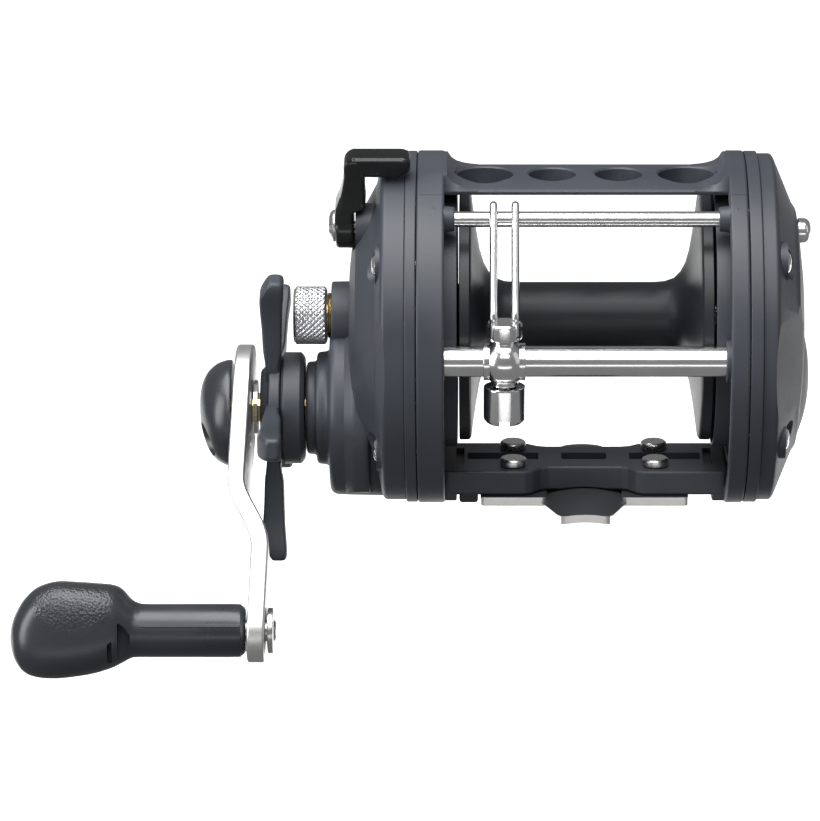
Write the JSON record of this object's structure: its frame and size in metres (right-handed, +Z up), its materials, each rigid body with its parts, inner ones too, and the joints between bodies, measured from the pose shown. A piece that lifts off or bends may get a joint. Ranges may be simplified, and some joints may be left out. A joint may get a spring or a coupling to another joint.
{
  "type": "trolling reel",
  "caption": "Conventional level-wind fishing reel with side covers, star drag, free-spool lever, bent crank handle, line guide carriage and a rod foot.",
  "frame": {"origin": "middle of the foot's underside, where it sits on the rod", "axes": "+X along the spool axis away from the handle, -Y towards the rod tip, +Z up from the rod"},
  "size_m": [0.1928, 0.0965, 0.1219],
  "materials": {
    "graphite_black": "fine satin, blue-grey",
    "gloss_black": "polished",
    "knob_black": "semi-gloss",
    "satin_aluminium": "satin anodised",
    "chrome_plate": "polished",
    "stainless_steel": "satin",
    "brass": "machined",
    "white_nylon": "natural",
    "carbon_fibre": "woven, dull"
  },
  "bodies": {
    "frame_assembly": {"frame": "graphite_black", "top_bar": "graphite_black", "left_trim_ring": "graphite_black", "right_trim_ring": "graphite_black", "foot_plate": "stainless_steel", "foot_screw_1": "stainless_steel", "foot_screw_2": "stainless_steel", "foot_screw_3": "stainless_steel", "foot_screw_4": "stainless_steel", "foot_bumper": "knob_black", "level_wind_tube": "chrome_plate", "stabilizer_bar": "chrome_plate", "left_cover": "graphite_black", "right_cover": "graphite_black", "left_cover_screw_1": "chrome_plate", "left_cover_screw_2": "chrome_plate", "right_cover_screw_1": "chrome_plate", "right_cover_screw_2": "chrome_plate", "bridge_plate": "stainless_steel", "one_way_bearing": "stainless_steel", "left_bearing": "stainless_steel", "right_bearing": "stainless_steel", "control_bushing": "brass", "idler_pin": "stainless_steel"},
    "crank": {"drive_shaft": "brass", "ratchet_wheel": "stainless_steel", "main_gear": "brass", "drag_washer_carbon": "carbon_fibre", "drag_washer_steel": "stainless_steel", "thrust_washer": "stainless_steel", "handle_arm": "satin_aluminium", "handle_nut": "stainless_steel", "nut_cap": "gloss_black", "cap_screw": "stainless_steel", "knob_spindle": "stainless_steel"},
    "star_drag": {"star_wheel": "graphite_black", "star_sleeve": "graphite_black"},
    "knob": {"handle_knob": "knob_black"},
    "spool_assembly": {"spool": "graphite_black", "spool_shaft": "stainless_steel", "spool_gear": "white_nylon"},
    "yoke": {"clutch_yoke": "stainless_steel", "yoke_spring_front": "stainless_steel", "yoke_spring_rear": "stainless_steel"},
    "pinion_gear": {"pinion": "brass"},
    "lever": {"clutch_lever": "gloss_black", "lever_screw": "stainless_steel", "lever_cam": "stainless_steel"},
    "cast_control": {"control_cap": "chrome_plate"},
    "idler": {"idler_gear": "white_nylon"},
    "worm": {"worm_shaft": "stainless_steel", "worm_gear": "white_nylon"},
    "carriage": {"carriage_body": "chrome_plate", "guide_wire_left": "chrome_plate", "guide_wire_right": "chrome_plate", "pawl": "stainless_steel", "pawl_cap": "chrome_plate"},
    "clicker": {"click_button": "chrome_plate", "click_tongue": "stainless_steel"}
  },
  "joints": [
    {"name": "crank_turn", "type": "hinge", "parent": "frame_assembly", "child": "crank", "pos_m": [0, 0, 0.0203], "axis": [1, 0, 0], "continuous": true},
    {"name": "star_turn", "type": "hinge", "parent": "crank", "child": "star_drag", "pos_m": [0, 0, 0.0203], "axis": [1, 0, 0], "range_deg": [-90, 180]},
    {"name": "knob_turn", "type": "hinge", "parent": "crank", "child": "knob", "pos_m": [0, -0.04388, -0.02207], "axis": [1, 0, 0], "continuous": true},
    {"name": "spool_turn", "type": "hinge", "parent": "frame_assembly", "child": "spool_assembly", "pos_m": [0, 0, 0.0439], "axis": [1, 0, 0], "continuous": true},
    {"name": "lever_turn", "type": "hinge", "parent": "frame_assembly", "child": "lever", "pos_m": [0, -0.00813, 0.06873], "axis": [1, 0, 0], "range_deg": [0, 20]},
    {"name": "yoke_slide", "type": "slide", "parent": "frame_assembly", "child": "yoke", "axis": [-1, 0, 0], "range_m": [0, 0.0018]},
    {"name": "pinion_turn", "type": "hinge", "parent": "yoke", "child": "pinion_gear", "pos_m": [0, 0, 0.0439], "axis": [1, 0, 0], "continuous": true},
    {"name": "control_turn", "type": "hinge", "parent": "frame_assembly", "child": "cast_control", "pos_m": [0, 0, 0.0439], "axis": [1, 0, 0], "range_deg": [-270, 270]},
    {"name": "idler_turn", "type": "hinge", "parent": "frame_assembly", "child": "idler", "pos_m": [0, -0.01858, 0.04734], "axis": [1, 0, 0], "continuous": true},
    {"name": "worm_turn", "type": "hinge", "parent": "frame_assembly", "child": "worm", "pos_m": [0, -0.036, 0.0428], "axis": [1, 0, 0], "continuous": true},
    {"name": "carriage_slide", "type": "slide", "parent": "frame_assembly", "child": "carriage", "axis": [1, 0, 0], "range_m": [-0.0029, 0.0421]},
    {"name": "click_slide", "type": "slide", "parent": "frame_assembly", "child": "clicker", "axis": [0, 0, -1], "range_m": [0, 0.004]}
  ],
  "couplings": [
    {"joint": "spool_turn", "follows": "crank_turn", "ratio": -3.5455},
    {"joint": "pinion_turn", "follows": "crank_turn", "ratio": -3.5455},
    {"joint": "idler_turn", "follows": "crank_turn", "ratio": 1.108},
    {"joint": "worm_turn", "follows": "crank_turn", "ratio": -4.4318},
    {"joint": "yoke_slide", "follows": "lever_turn", "m_per_rad": 0.0051}
  ]
}
